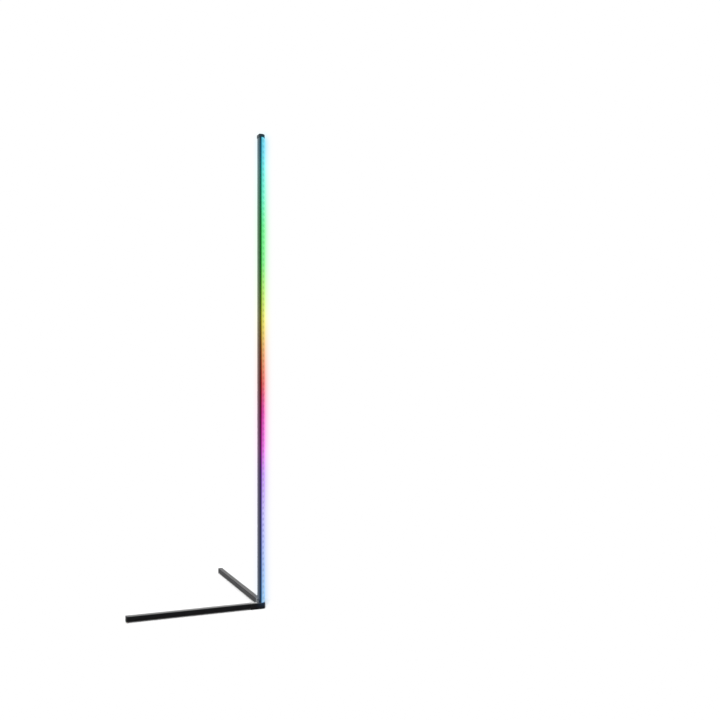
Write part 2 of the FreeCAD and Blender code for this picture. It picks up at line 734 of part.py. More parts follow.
# Each lead drops from its contact, runs through the duct under the socket, turns up through
# the wire hole and ends flat on the tape. The leads lie one over the other in the duct, and the
# lowest one goes furthest before it turns up, so that none crosses another. Five sides will do
# for a lead that is closed in all round.
def makeLead(label, index):
    radius = number("leadRadius")
    step = 1 - index
    x = number(f"{PIN_SPOTS[index]} - inletReach")
    y = number(LEAD_LANE)
    level = number(f"{COVER_TOP} + leadRadius + leadClear + {index} * leadPitch")
    hole = fromPole(0, number("wireForward"), 0)
    upX = hole.x + step * number("leadSpread")
    face = number(f"{TAPE_FACE} + leadRadius + leadClear")
    lane = -step * number("pinPitch")
    points = [
        Vector(x, y, number("inletHeight - pinSide / 2")),
        Vector(x, y, level),
        Vector(upX, hole.y, level),
        Vector(upX, hole.y, number("tapeFoot - leadTurn")),
        fromPole(lane, face, number("tapeFoot - leadRise / 2")),
        fromPole(lane, face, number("tapeFoot + leadRise")),
    ]
    path, radii = softPath(points)
    corners = [points[0] + Vector(radius, 0, 0)]
    for turn in range(72, 361, 72):
        around = math.radians(turn)
        corners.append(points[0] + Vector(radius * math.cos(around), radius * math.sin(around), 0))
    ring = Part.makePolygon(corners)
    solid = path.makePipeShell([ring], True, False)
    lead = doc.addObject("Part::Feature", label)
    lead.Label = label
    lead.Shape = solid
    subParts.append(lead)
    share = solid.Volume / (path.Length * Part.Face(ring).Area)
    bends = ", ".join(f"{bend:.1f}" for bend in radii)
    print(f"{label}: {path.Length:.1f} mm long, bends of {bends} mm, volume ratio {share:.3f}")


makePoleProfile()
makeDiffuser()
makeTape()
makeTopCap()
for side in LEG_TURN:
    makeLeg(side)
makeConnector()
makeCover()
makePoleScrew()
makeInlet()
for index, label in enumerate(("supply_lead", "data_lead", "ground_lead")):
    makeLead(label, index)
doc.recompute()

faults = [item.Name for item in doc.Objects if {"Invalid", "Error"} & set(item.State)]
faults += [item.Label for item in subParts if item.Shape.isNull() or not item.Shape.isValid()]
if faults:
    raise RuntimeError("not built: " + ", ".join(faults))
os.makedirs("parts", exist_ok=True)
for item in subParts:
    item.Shape.exportStep(f"parts/{item.Label}.step")
    shape, box = item.Shape, item.Shape.BoundBox
    heights = f"z {box.ZMin:.1f} to {box.ZMax:.1f}"
    print(f"{item.Label}: {len(shape.Solids)} solids, {shape.Volume:.0f} mm3, {heights}")
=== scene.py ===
import colorsys
import math

import bmesh
import bpy
import numpy as np
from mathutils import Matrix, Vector
from mathutils.geometry import tessellate_polygon


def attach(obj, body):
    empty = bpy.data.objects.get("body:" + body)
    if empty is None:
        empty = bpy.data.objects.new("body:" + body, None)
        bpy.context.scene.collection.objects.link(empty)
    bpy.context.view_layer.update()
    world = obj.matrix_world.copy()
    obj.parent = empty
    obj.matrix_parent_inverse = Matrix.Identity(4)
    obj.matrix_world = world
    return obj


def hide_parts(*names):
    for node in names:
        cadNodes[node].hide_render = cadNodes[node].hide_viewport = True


# A slim light column in the elbow of two low legs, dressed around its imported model.
# X and Y run along the legs and Z is up. Outlines are drawn in millimetres, meshes are in metres.

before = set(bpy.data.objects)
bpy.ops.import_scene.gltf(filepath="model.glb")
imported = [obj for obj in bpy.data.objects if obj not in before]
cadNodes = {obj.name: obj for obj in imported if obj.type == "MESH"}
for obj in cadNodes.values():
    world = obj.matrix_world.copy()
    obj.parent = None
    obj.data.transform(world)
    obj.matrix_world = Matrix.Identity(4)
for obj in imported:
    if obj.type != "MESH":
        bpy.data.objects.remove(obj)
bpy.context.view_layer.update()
mm = 0.001
rootTwo = math.sqrt(2)
print("frame: loaded", len(cadNodes), "nodes")


# Camera: the photograph's place, turn and framing.

cameraValues = {
    "place": (-0.8262, -2.1396, 0.7100),
    "turnRight": 18.884,  # degrees from +Y
    "lens": 38.760,
    "shiftRight": 0.17649,  # shares of the picture's width
    "shiftUp": 0.01115,
    "seesTo": 60,
}


# Level camera: tilted up by 90 degrees from looking down, then turned right from +Y.
def makeCamera(values):
    camera = bpy.data.objects.new("camera", bpy.data.cameras.new("camera"))
    bpy.context.scene.collection.objects.link(camera)
    camera.location = values["place"]
    camera.rotation_euler = (math.radians(90), 0, -math.radians(values["turnRight"]))
    camera.data.lens = values["lens"]
    camera.data.shift_x = values["shiftRight"]
    camera.data.shift_y = values["shiftUp"]
    camera.data.clip_end = values["seesTo"]
    bpy.context.scene.camera = camera


makeCamera(cameraValues)
print("camera: set")


# Mesh helpers.

meshValues = {
    "mergeWithin": 1e-7,  # metres
    "sharpOver": 35,  # degrees between two faces, past which their edge stays sharp
    "leastRadius": 1e-6,  # of a corner that stays sharp
    "straightCosine": 0.9999999,  # keeps a straight corner's half angle under 90 degrees
    "circleSteps": 24,
}


# Closed shell: each wall is a stack of loops (levels, points, 3) joined by quads, and each fill
# is a flat face between the loops (wall, level) that it names, the first round the others.
def shellFrom(name, walls, fills, material, replaced, drawnAlong=None):
    verts, faces, starts = [], [], []
    count = 0
    for wall in walls:
        levels, points = wall.shape[:2]
        index = count + np.arange(levels * points).reshape(levels, points)
        nextPoint = np.roll(index, -1, axis=1)
        quads = np.stack([index[:-1], nextPoint[:-1], nextPoint[1:], index[1:]], axis=-1)
        faces += quads.reshape(-1, 4).tolist()
        verts.append(wall.reshape(-1, 3))
        starts.append(index)
        count += levels * points
    verts = np.concatenate(verts)
    for fill in fills:
        ids = np.concatenate([starts[wall][level] for wall, level in fill])
        loops = [[tuple(verts[i]) for i in starts[wall][level]] for wall, level in fill]
        faces += ids[np.array(tessellate_polygon(loops))].tolist()
    mesh = bpy.data.meshes.new(name)
    mesh.from_pydata((verts * mm).tolist(), [], faces)
    tidyMesh(mesh, meshValues["sharpOver"])
    if drawnAlong is not None:
        mapDrawn(mesh, drawnAlong)
    addPiece(name, mesh, material, replaced)


# Map of a drawn tube: u is the place along the tube, v is the angle round its middle, in turns.
def mapDrawn(mesh, axis):
    place = np.empty(len(mesh.vertices) * 3)
    mesh.vertices.foreach_get("co", place)
    place = place.reshape(-1, 3)
    middle = (place.max(0) + place.min(0)) / 2
    first, second = (side for side in range(3) if side != axis)
    turn = np.arctan2(place[:, second] - middle[second], place[:, first] - middle[first])
    corner = np.empty(len(mesh.loops), int)
    mesh.loops.foreach_get("vertex_index", corner)
    spots = np.column_stack([place[:, axis], turn / (2 * math.pi)])[corner]
    mesh.uv_layers.new(name="drawn").data.foreach_set("uv", spots.ravel())


# Doubles merged, faces outwards, smooth shading with sharp edges past the given angle.
def tidyMesh(mesh, sharpOver):
    work = bmesh.new()
    work.from_mesh(mesh)
    bmesh.ops.remove_doubles(work, verts=work.verts, dist=meshValues["mergeWithin"])
    bmesh.ops.recalc_face_normals(work, faces=work.faces)
    work.to_mesh(mesh)
    work.free()
    mesh.shade_smooth()
    mesh.set_sharp_from_angle(angle=math.radians(sharpOver))


def addPiece(name, mesh, material, replaced):
    piece = bpy.data.objects.new(name, mesh)
    bpy.context.scene.collection.objects.link(piece)
    mesh.materials.append(material)
    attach(piece, "root")
    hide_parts(*replaced)


# Rounded outline: a circle of the corner's radius touches both its sides, and the corner gives
# way to the points of that circle between the two touching points. Radius 0 keeps the corner.
def roundedLoop(corners, radii, steps=5):
    corners = np.asarray(corners, float)
    chosen = np.broadcast_to(np.asarray(radii, float), len(corners))
    radii = np.maximum(chosen, meshValues["leastRadius"])[:, None]
    toBefore = np.roll(corners, 1, 0) - corners
    toAfter = np.roll(corners, -1, 0) - corners
    toBefore /= np.linalg.norm(toBefore, axis=1, keepdims=True)
    toAfter /= np.linalg.norm(toAfter, axis=1, keepdims=True)
    most = meshValues["straightCosine"]
    cosine = np.clip((toBefore * toAfter).sum(1, keepdims=True), -most, most)
    halfAngle = np.arccos(cosine) / 2
    middle = toBefore + toAfter
    middle /= np.linalg.norm(middle, axis=1, keepdims=True)
    centres = corners + middle * radii / np.sin(halfAngle)
    reach = radii / np.tan(halfAngle)
    first = corners + toBefore * reach - centres
    last = corners + toAfter * reach - centres
    sweep = (math.pi - 2 * halfAngle)[:, :, None]
    share = np.linspace(0, 1, steps)[None, :, None]
    blend = np.sin((1 - share) * sweep) * first[:, None] + np.sin(share * sweep) * last[:, None]
    points = centres[:, None] + blend / np.sin(sweep)
    kept = (chosen > 0)[:, None] | (np.arange(steps) == 0)[None, :]
    return points[kept]


# Points of a circle between two angles in degrees: centre + radius * (cos, sin) of the angle.
def arcPoints(centre, radius, start, end, steps):
    angle = np.radians(np.linspace(start, end, steps))
    return np.asarray(centre) + radius * np.column_stack([np.cos(angle), np.sin(angle)])


# The whole circle, its first point not repeated.
def circlePoints(centre, radius):
    return arcPoints(centre, radius, 0, 360, meshValues["circleSteps"] + 1)[:-1]


# Loops with their heights: (points, 2) outlines become one wall (levels, points, 3).
def wallOf(outlines, heights):
    outlines = np.asarray(outlines, float)
    heights = np.broadcast_to(np.asarray(heights, float)[:, None], outlines.shape[:2])
    return np.dstack([outlines, heights])


# Quarter of a circle as insets and rises: inset r(1 - sin t), rise r(1 - cos t), t from 0 to 90.
def rimSteps(radius, steps=4):
    turn = np.linspace(0, math.pi / 2, steps)
    return radius * (1 - np.sin(turn)), radius * (1 - np.cos(turn))


# A leg's own frame: (along, across, up), turned by 180 degrees for the near leg, 90 for the far.
def fromLeg(points, side):
    along, across, up = points[..., 0], points[..., 1], points[..., 2]
    if side == "near":
        return np.stack([-along, -across, up], axis=-1)
    return np.stack([-across, along, up], axis=-1)


# Materials.

# A number is set on a node's socket, another node's output is linked to it.
def feed(tree, socket, source):
    if isinstance(source, (int, float)):
        socket.default_value = source
    else:
        tree.links.new(source, socket)


# A Math node's result.
def calculated(tree, operation, *terms):
    node = tree.nodes.new("ShaderNodeMath")
    node.operation = operation
    for socket, term in zip(node.inputs, terms):
        feed(tree, socket, term)
    return node.outputs["Value"]


def newMaterial(name):
    material = bpy.data.materials.new(name)
    material.use_nodes = True
    return material, material.node_tree, material.node_tree.nodes["Principled BSDF"]


def setSockets(shader, settings):
    for socket, value in settings.items():
        shader.inputs[socket].default_value = value


# What a surface has where its own values name nothing else. Sizes are in millimetres.
usualSurface = {
    "stretch": (1, 1, 1), "grainDetail": 3, "cloudDetail": 2, "cloudShare": 0.4,
    "toneSpan": (0.3, 0.7),  # the part of the noise over which tones and gloss change
    "relief": 0.2, "reliefDeep": 0.02, "drawn": 0, "sockets": {},
}


# Fine grain and a broad cloud on the object's own coordinates: noise = cloud * share + grain *
# (1 - share) runs the colour between two tones and the roughness between two values, and the
# grain, stretched along an axis, raises the surface a little.
def makeSurface(name, ownValues):
    values = {**usualSurface, **ownValues}
    material, tree, shader = newMaterial(name)
    nodes, links = tree.nodes, tree.links
    place = nodes.new("ShaderNodeTexCoord")
    stretch = nodes.new("ShaderNodeMapping")
    stretch.inputs["Scale"].default_value = values["stretch"]
    links.new(place.outputs["Object"], stretch.inputs["Vector"])

    def noise(source, size, detail):
        node = nodes.new("ShaderNodeTexNoise")
        node.inputs["Scale"].default_value = 1 / (size * mm)
        node.inputs["Detail"].default_value = detail
        links.new(source, node.inputs["Vector"])
        return node.outputs["Fac"]

    grain = noise(stretch.outputs["Vector"], values["grain"], values["grainDetail"])
    cloud = noise(place.outputs["Object"], values["cloud"], values["cloudDetail"])
    fine = calculated(tree, "MULTIPLY", grain, 1 - values["cloudShare"])
    blend = calculated(tree, "MULTIPLY_ADD", cloud, values["cloudShare"], fine)
    tones = nodes.new("ShaderNodeValToRGB")
    ends = zip(tones.color_ramp.elements, values["toneSpan"], ("dark", "light"))
    for end, at, tone in ends:
        end.position = at
        end.color = (*values[tone], 1)
    links.new(blend, tones.inputs["Fac"])
    links.new(tones.outputs["Color"], shader.inputs["Base Color"])
    gloss = nodes.new("ShaderNodeMapRange")
    labels = ("Value", "From Min", "From Max", "To Min", "To Max")
    for label, source in zip(labels, (blend, *values["toneSpan"], *values["rough"])):
        feed(tree, gloss.inputs[label], source)
    links.new(gloss.outputs["Result"], shader.inputs["Roughness"])
    relief = nodes.new("ShaderNodeBump")
    relief.inputs["Strength"].default_value = values["relief"]
    relief.inputs["Distance"].default_value = values["reliefDeep"] * mm
    links.new(grain, relief.inputs["Height"])
    links.new(relief.outputs["Normal"], shader.inputs["Normal"])
    setSockets(shader, values["sockets"])
    if values["drawn"]:
        tangent = nodes.new("ShaderNodeTangent")
        tangent.direction_type = "UV_MAP"
        tangent.uv_map = "drawn"
        links.new(tangent.outputs["Tangent"], shader.inputs["Tangent"])
        shader.inputs["Anisotropic"].default_value = values["drawn"]
    return material


def grey(level):
    return (level, level, level)


surfaceValues = {
    "poleAnodised": {
        "dark": (0.004, 0.004, 0.005), "light": (0.009, 0.009, 0.010),
        "grain": 0.35, "stretch": (1, 1, 0.004), "cloud": 60, "cloudShare": 0.3,
        "rough": (0.26, 0.38), "relief": 0.25,
        "sockets": {"Specular IOR Level": 0.5},
    },
    # near leg's coat: the same tube as the far leg; its darker base colour is painted shade, for
    # its side that faces the dim front
    "nearLegCoat": {
        "dark": (0.003, 0.003, 0.004), "light": (0.006, 0.006, 0.007),
        "grain": 0.5, "stretch": (0.02, 1, 1), "cloud": 45,
        "rough": (0.30, 0.40), "relief": 0.4, "reliefDeep": 0.03, "drawn": 0.85,
        "sockets": {"Specular IOR Level": 0.6},
    },
    # far leg's coat: the same tube as the near leg; its lighter base colour is painted light, for
    # its side that faces the bright left
    "farLegCoat": {
        "dark": (0.009, 0.009, 0.010), "light": (0.017, 0.017, 0.018),
        "grain": 0.5, "stretch": (1, 0.02, 1), "cloud": 45,
        "rough": (0.30, 0.40), "relief": 0.4, "reliefDeep": 0.03, "drawn": 0.85,
        "sockets": {"Specular IOR Level": 0.28},
    },
    "mouldedBlack": {
        "dark": (0.005, 0.005, 0.006), "light": (0.012, 0.012, 0.013),
        "grain": 0.6, "cloud": 30, "rough": (0.42, 0.58), "relief": 0.8, "reliefDeep": 0.06,
        "sockets": {"Specular IOR Level": 0.45},
    },
    "elbowBlack": {
        "dark": (0.003, 0.003, 0.004), "light": (0.006, 0.006, 0.007),
        "grain": 0.4, "cloud": 30, "rough": (0.14, 0.22),
        "sockets": {"Specular IOR Level": 0.7},
    },
    "foamPad": {
        "dark": grey(0.55), "light": grey(0.72), "grain": 0.25, "cloud": 8,
        "rough": (0.85, 0.98), "relief": 0.6, "reliefDeep": 0.06,
    },
    "circuitMask": {
        "dark": (0.62, 0.62, 0.60), "light": (0.78, 0.78, 0.76), "grain": 0.3, "cloud": 12,
        "rough": (0.34, 0.5), "relief": 0.15,
    },
    "chipPackage": {
        "dark": (0.70, 0.68, 0.60), "light": (0.86, 0.84, 0.76), "grain": 0.6, "cloud": 4,
        "rough": (0.25, 0.4),
    },
    "capacitorBody": {
        "dark": (0.20, 0.13, 0.08), "light": (0.32, 0.22, 0.14), "grain": 0.3, "cloud": 2,
        "rough": (0.3, 0.45),
    },
    "footRubber": {
        "dark": grey(0.012), "light": grey(0.030), "grain": 0.3, "cloud": 6,
        "rough": (0.75, 0.92), "relief": 0.7, "reliefDeep": 0.05,
    },
    "footClear": {
        "dark": (0.62, 0.64, 0.65), "light": (0.74, 0.76, 0.77), "grain": 0.5, "cloud": 4,
        "rough": (0.28, 0.42),
        "sockets": {"Subsurface Weight": 0.3, "Subsurface Scale": 0.002},
    },
    "screwBlack": {
        "dark": (0.014, 0.014, 0.016), "light": (0.032, 0.032, 0.035), "grain": 0.25, "cloud": 5,
        "rough": (0.28, 0.42), "relief": 0.3, "sockets": {"Metallic": 0.6},
    },
    "screwZinc": {
        "dark": (0.48, 0.49, 0.51), "light": grey(0.66), "grain": 0.2, "cloud": 5,
        "rough": (0.25, 0.42), "relief": 0.3, "sockets": {"Metallic": 1.0},
    },
    "brassTurned": {
        "dark": (0.55, 0.36, 0.12), "light": (0.76, 0.56, 0.24), "grain": 0.2,
        "stretch": (1, 1, 6), "cloud": 5, "rough": (0.22, 0.36), "relief": 0.3,
        "sockets": {"Metallic": 1.0},
    },
    "socketBlack": {
        "dark": (0.008, 0.008, 0.009), "light": (0.018, 0.018, 0.019), "grain": 0.35, "cloud": 8,
        "rough": (0.3, 0.45), "relief": 0.3,
    },
    "leadRed": {
        "dark": (0.36, 0.012, 0.010), "light": (0.52, 0.03, 0.022), "grain": 0.3, "cloud": 6,
        "rough": (0.4, 0.55),
    },
    "leadGreen": {
        "dark": (0.015, 0.22, 0.04), "light": (0.03, 0.36, 0.07), "grain": 0.3, "cloud": 6,
        "rough": (0.4, 0.55),
    },
    "leadBlack": {
        "dark": grey(0.010), "light": grey(0.024), "grain": 0.3, "cloud": 6,
        "rough": (0.4, 0.55),
    },
}
surfaces = {name: makeSurface(name, values) for name, values in surfaceValues.items()}

# The light seen through the diffuser is one run of hues, from a sky blue at the foot (0) through
# violet, red, yellow and green to cyan at the head (1).
glowValues = {
    "foot": 8, "head": 1397.6,
    "steps": [
        # height, hue in degrees, saturation, level
        (0.00, 205, 0.36, 0.86), (0.09, 220, 0.30, 0.88), (0.19, 245, 0.24, 0.92),
        (0.28, 270, 0.36, 0.88), (0.34, 305, 0.53, 0.82), (0.41, 318, 0.69, 0.79),
        (0.47, 360, 0.56, 0.82), (0.54, 30, 0.54, 0.83), (0.60, 55, 0.56, 0.84),
        (0.67, 85, 0.51, 0.86), (0.73, 125, 0.46, 0.88), (0.80, 135, 0.54, 0.90),
        (0.87, 162, 0.55, 0.90), (0.97, 190, 0.56, 0.87),
    ],
    "edgeShare": 0.85,  # brightness beside the lips, against the middle
    "edgeWide": 6.5,
    "firstChip": 39, "pitch": 16.6667, "chipSwing": 0.17,
    "plastic": grey(0.02), "rough": 0.38, "specular": 0.08, "strength": 1.08,
}


# Screen colour to linear light: level / 12.92 near black, ((level + 0.055) / 1.055) ^ 2.4 above.
def toLinear(level):
    return level / 12.92 if level <= 0.04045 else ((level + 0.055) / 1.055) ** 2.4


# Glow = colour at this height * (edge + (1 - edge) * bell), bell = exp(-(across / wide)^2),
#        * (1 + swing * bell * cos(2 pi * (height - first) / pitch)).
def makeGlow(name, values):
    material, tree, shader = newMaterial(name)
    nodes, links = tree.nodes, tree.links

    def calculate(operation, *terms):
        return calculated(tree, operation, *terms)

    place = nodes.new("ShaderNodeTexCoord")
    parts = nodes.new("ShaderNodeSeparateXYZ")
    links.new(place.outputs["Object"], parts.inputs["Vector"])
    height = parts.outputs["Z"]
    span = (values["head"] - values["foot"]) * mm
    share = calculate("DIVIDE", calculate("SUBTRACT", height, values["foot"] * mm), span)
    ramp = nodes.new("ShaderNodeValToRGB")
    stops = ramp.color_ramp.elements
    for index, (at, hue, saturation, brightness) in enumerate(values["steps"]):
        stop = stops[index] if index < 2 else stops.new(at)  # a new ramp has two stops
        stop.position = at
        screen = colorsys.hsv_to_rgb(hue / 360, saturation, brightness)
        stop.color = (*map(toLinear, screen), 1)
    links.new(share, ramp.inputs["Fac"])

    across = calculate("ADD", parts.outputs["X"], parts.outputs["Y"])
    ratio = calculate("MULTIPLY", across, 1 / (rootTwo * values["edgeWide"] * mm))
    bell = calculate("EXPONENT", calculate("MULTIPLY", calculate("MULTIPLY", ratio, ratio), -1.0))
    profile = calculate("MULTIPLY_ADD", bell, 1 - values["edgeShare"], values["edgeShare"])
    phase = calculate("SUBTRACT", height, values["firstChip"] * mm)
    wave = calculate("COSINE", calculate("MULTIPLY", phase, 2 * math.pi / (values["pitch"] * mm)))
    blobs = calculate("MULTIPLY_ADD", calculate("MULTIPLY", wave, bell), values["chipSwing"], 1.0)
    glow = nodes.new("ShaderNodeVectorMath")
    glow.operation = "SCALE"
    links.new(ramp.outputs["Color"], glow.inputs[0])
    links.new(calculate("MULTIPLY", profile, blobs), glow.inputs["Scale"])
    links.new(glow.outputs["Vector"], shader.inputs["Emission Color"])
    setSockets(shader, {
        "Emission Strength": values["strength"],
        "Base Color": (*values["plastic"], 1),
        "Roughness": values["rough"],
        "Specular IOR Level": values["specular"],
    })
    return material


glow = makeGlow("opalGlow", glowValues)
print("materials: made", len(surfaces) + 1)

# CAD nodes that stay get the finish of their slot.
slotFinish = {
    "moulded_black": "mouldedBlack",
    "foam": "foamPad",
    "circuit": "circuitMask",
    "chip_package": "chipPackage",
    "capacitor": "capacitorBody",
    "foot_rubber": "footRubber",
    "foot_clear": "footClear",
    "black_screw": "screwBlack",
    "zinc_screw": "screwZinc",
    "brass": "brassTurned",
    "socket_black": "socketBlack",
    "lead_red": "leadRed",
    "lead_green": "leadGreen",
    "lead_black": "leadBlack",
}


# The slot is the start of the name of the material that the node came with.
def dressNode(node):
    for holder in node.material_slots:
        name = holder.material.name if holder.material else ""
        for slotName, finish in slotFinish.items():
            if name.startswith(slotName):
                holder.material = surfaces[finish]


# Pole: two back walls at a right angle, a round front with lips, a web, hollows and screw port.
# Its outline is drawn as (across, forward) from the back edge.

poleValues = {
    "inset": 13.4,  # of the back edge from both legs' middle planes
    "arm": 18.6, "wall": 1.3, "frontCentre": 7, "lipHalf": 9.4,
    "webFront": 9.2, "webWall": 1.2, "portRadius": 1.7, "portWall": 1.2,
    "foot": 8, "head": 1397.6,
    "backRound": 0.6, "sideRound": 0.45, "lipRound": 0.25, "insideRound": 0.3,
    "roundSteps": 4, "arcSteps": 9, "ringSteps": 7, "levels": 15,
}


# Turned by -135 degrees from the pole's own frame: x = -inset - (across - forward) / root 2,
# y = inset - (across + forward) / root 2.
def fromPole(points):
    across, forward = points[..., 0], points[..., 1]
    x = -poleValues["inset"] - (across - forward) / rootTwo
    y = poleValues["inset"] - (across + forward) / rootTwo
    return np.stack([x, y, *np.moveaxis(points[..., 2:], -1, 0)], axis=-1)


# Radius of the round front: the distance from its centre to the end of a back wall.
def frontRadius(values):
    side = values["arm"] / rootTwo
    return math.hypot(side, side - values["frontCentre"])


# Side corner of the outline moved out by a gap: the 45 degree back wall meets the round front.
def sideCorner(values, gap):
    shift = gap * rootTwo
    radius = frontRadius(values) + gap
    centre = values["frontCentre"]
    along = (centre - shift + math.sqrt(2 * radius**2 - (centre + shift) ** 2)) / 2
    return along + shift, along


# The same points across the middle plane, in the other order.
def mirrored(points):
    return np.asarray(points)[::-1] * (-1, 1)


# Outline: back corner, outer arc from side corner to lip, inner arc back to the inner side
# corner, web, and all but the back corner mirrored. An arc's end at across / forward has the angle
# arctan(forward / across), and at the lip arccos(across / radius).
def poleOutline(values):
    radius = frontRadius(values)
    inner = radius - values["wall"]
    centre = (0, values["frontCentre"])
    side = values["arm"] / rootTwo
    sideTurn = math.degrees(math.atan2(side - values["frontCentre"], side))
    lipTurn = math.degrees(math.acos(values["lipHalf"] / radius))
    innerCorner = np.array(sideCorner(values, -values["wall"]))
    innerTurn = math.degrees(math.atan2(innerCorner[1] - centre[1], innerCorner[0]))
    seat = values["webFront"] - values["wall"] * rootTwo
    outerArc = arcPoints(centre, radius, sideTurn, lipTurn, values["arcSteps"])
    innerArc = arcPoints(centre, inner, lipTurn, innerTurn, values["arcSteps"])
    right = np.vstack([outerArc, innerArc, [(seat, values["webFront"])]])
    radii = np.zeros(len(right))
    steps = values["arcSteps"]
    radii[0] = values["sideRound"]
    radii[steps - 1] = radii[steps] = values["lipRound"]
    radii[2 * steps - 1] = radii[-1] = values["insideRound"]
    corners = np.vstack([[(0, 0)], right, mirrored(right)])
    radii = [values["backRound"], *radii, *radii[::-1]]
    return roundedLoop(corners, radii, values["roundSteps"])


# Three hollows, each a corner of the triangle behind the web with the port's ring cut out.
def poleHollows(values):
    top = values["webFront"] - values["webWall"]
    deep = top - values["wall"] * rootTwo
    inRadius = deep * (rootTwo - 1)
    port = np.array([0, top - inRadius])
    ring = values["portRadius"] + values["portWall"]
    corners = np.array([(0, top - deep), (deep, top), (-deep, top)])
    chord = math.sqrt(ring**2 - inRadius**2)
    loops = []
    for index, corner in enumerate(corners):
        toNext = corners[(index + 1) % 3] - corner
        toLast = corners[index - 1] - corner
        toNext, toLast = toNext / np.linalg.norm(toNext), toLast / np.linalg.norm(toLast)
        reach = (port - corner) @ toNext - chord
        first, last = corner + toNext * reach - port, corner + toLast * reach - port
        start, end = (math.degrees(math.atan2(p[1], p[0])) for p in (first, last))
        if end - start > 180:  # the short way round
            start += 360
        if start - end > 180:
            end += 360
        loops.append(np.vstack([[corner], arcPoints(port, ring, start, end, values["ringSteps"])]))
    return loops, port


# Outline, hollows and bore, each carried straight up from the foot to the head.
def makePole(values):
    heights = np.linspace(values["foot"], values["head"], values["levels"])
    hollows, port = poleHollows(values)
    loops = [poleOutline(values), *hollows, circlePoints(port, values["portRadius"])]
    walls = [fromPole(wallOf([loop] * len(heights), heights)) for loop in loops]
    fills = [[(index, level) for index in range(len(loops))] for level in (0, len(heights) - 1)]
    coat = surfaces["poleAnodised"]
    shellFrom("poleShell", walls, fills, coat, ["pole_profile"])


makePole(poleValues)
print("pole: done")


# Diffuser: round opal shell between the lips, with its two snap legs.

diffuserValues = {
    "wall": 1.4, "gap": 0.15, "snapWall": 1.0, "snapDrop": 2.2, "barbOut": 0.7, "barbLand": 0.6,
    "edgeRound": 0.3, "roundSteps": 4, "arcSteps": 29,
}


# How far forward a circle about the front's centre is, at a distance across:
# centre + root of (radius^2 - across^2).
def onArc(across, radius):
    return poleValues["frontCentre"] + math.sqrt(radius**2 - across**2)


# Outline: the front's arc between the lips, a snap leg with its barb, the inner arc back and the
# other snap leg. The sides lean towards the front's centre as the lips' ends do, so they shrink
# with the radius, by (radius - the pole's wall) / radius.
def makeDiffuser(values):
    radius = frontRadius(poleValues)
    centre = (0, poleValues["frontCentre"])
    share = (radius - poleValues["wall"]) / radius
    half = poleValues["lipHalf"] - values["gap"]
    outFace = half * share
    shoulder = centre[1] + (onArc(half, radius) - centre[1]) * share
    barbSide = outFace + values["barbOut"]
    barbTop = onArc(barbSide, radius - poleValues["wall"]) - values["gap"]
    inFace = outFace - values["snapWall"]
    inner = radius - values["wall"]
    hook = np.array([
        (outFace, shoulder), (outFace, barbTop), (barbSide, barbTop),
        (barbSide, barbTop - values["barbLand"]), (outFace, barbTop - values["snapDrop"]),
        (inFace, barbTop - values["snapDrop"]),
    ])
    outTurn = math.degrees(math.acos(half / radius))
    inTurn = math.degrees(math.acos(inFace / inner))
    outside = arcPoints(centre, radius, outTurn, 180 - outTurn, values["arcSteps"])
    inside = arcPoints(centre, inner, 180 - inTurn, inTurn, values["arcSteps"])
    corners = np.vstack([outside, hook * (-1, 1), inside, hook[::-1]])
    radii = np.zeros(len(corners))
    radii[0] = radii[len(outside) - 1] = values["edgeRound"]
    loop = roundedLoop(corners, radii, values["roundSteps"])
    heights = np.linspace(poleValues["foot"], poleValues["head"], poleValues["levels"])
    wall = fromPole(wallOf([loop] * len(heights), heights))
    fills = [[(0, 0)], [(0, len(heights) - 1)]]
    shellFrom("diffuserShell", [wall], fills, glow, ["diffuser"])


makeDiffuser(diffuserValues)
print("diffuser: done")


# Top cap: follows the pole's outline, overhangs it, hollow below, with a peg for the screw port.

capValues = {
    "top": 1400, "tall": 9.2, "plate": 2.4, "overhang": 1.2, "fit": 0.15,
    "pegRadius": 1.6, "pegLength": 9, "pegTaper": 0.4, "pegTaperTall": 0.6,
    "cornerRound": 0.8, "insideRound": 0.3, "backRound": 0.6,
    "topRim": 0.6, "topRimSteps": 6, "lowRim": 0.25, "arcSteps": 33,
}


# The pole's outline without its lips, moved out by a gap: back corner, side corners, front arc.
def capOutline(values, gap, sideRound):
    corner = sideCorner(poleValues, gap)
    centre = (0, poleValues["frontCentre"])
    turn = math.degrees(math.atan2(corner[1] - centre[1], corner[0]))
    radius = frontRadius(poleValues) + gap
    front = arcPoints(centre, radius, turn, 180 - turn, values["arcSteps"])
    corners = np.vstack([[(0, -gap * rootTwo)], front])
    radii = np.zeros(len(corners))
    radii[0] = values["backRound"]
    radii[1] = radii[-1] = sideRound
    return roundedLoop(corners, radii)


# Outside loops drawn in by the rims' insets, a straight inside up to the plate, and the peg.
def makeCap(values):
    low = values["top"] - values["tall"]
    ceiling = values["top"] - values["plate"]
    lowInset, lowRise = rimSteps(values["lowRim"])
    topInset, topRise = rimSteps(values["topRim"], values["topRimSteps"])
    insets = np.concatenate([lowInset, topInset[::-1]])
    heights = np.concatenate([low + lowRise, values["top"] - topRise[::-1]])
    overhang, cornerRound = values["overhang"], values["cornerRound"]
    outside = [capOutline(values, overhang - inset, cornerRound) for inset in insets]
    inside = capOutline(values, values["fit"], values["insideRound"])
    port = poleHollows(poleValues)[1]
    peg = circlePoints(port, values["pegRadius"])
    pegTip = circlePoints(port, values["pegRadius"] - values["pegTaper"])
    pegFoot = ceiling - values["pegLength"]
    walls = [
        wallOf(outside, heights),
        wallOf([inside] * 2, [low, ceiling]),
        wallOf([pegTip, peg, peg], [pegFoot, pegFoot + values["pegTaperTall"], ceiling]),
    ]
    last = len(heights) - 1
    fills = [[(0, last)], [(0, 0), (1, 0)], [(1, 1), (2, 2)], [(2, 0)]]
    walls = [fromPole(wall) for wall in walls]
    shellFrom("topCapShell", walls, fills, surfaces["mouldedBlack"], ["top_cap"])


makeCap(capValues)
print("top cap: done")


# Legs: hollow tubes with rounded edges, end caps with a hollow plug, clear feet.

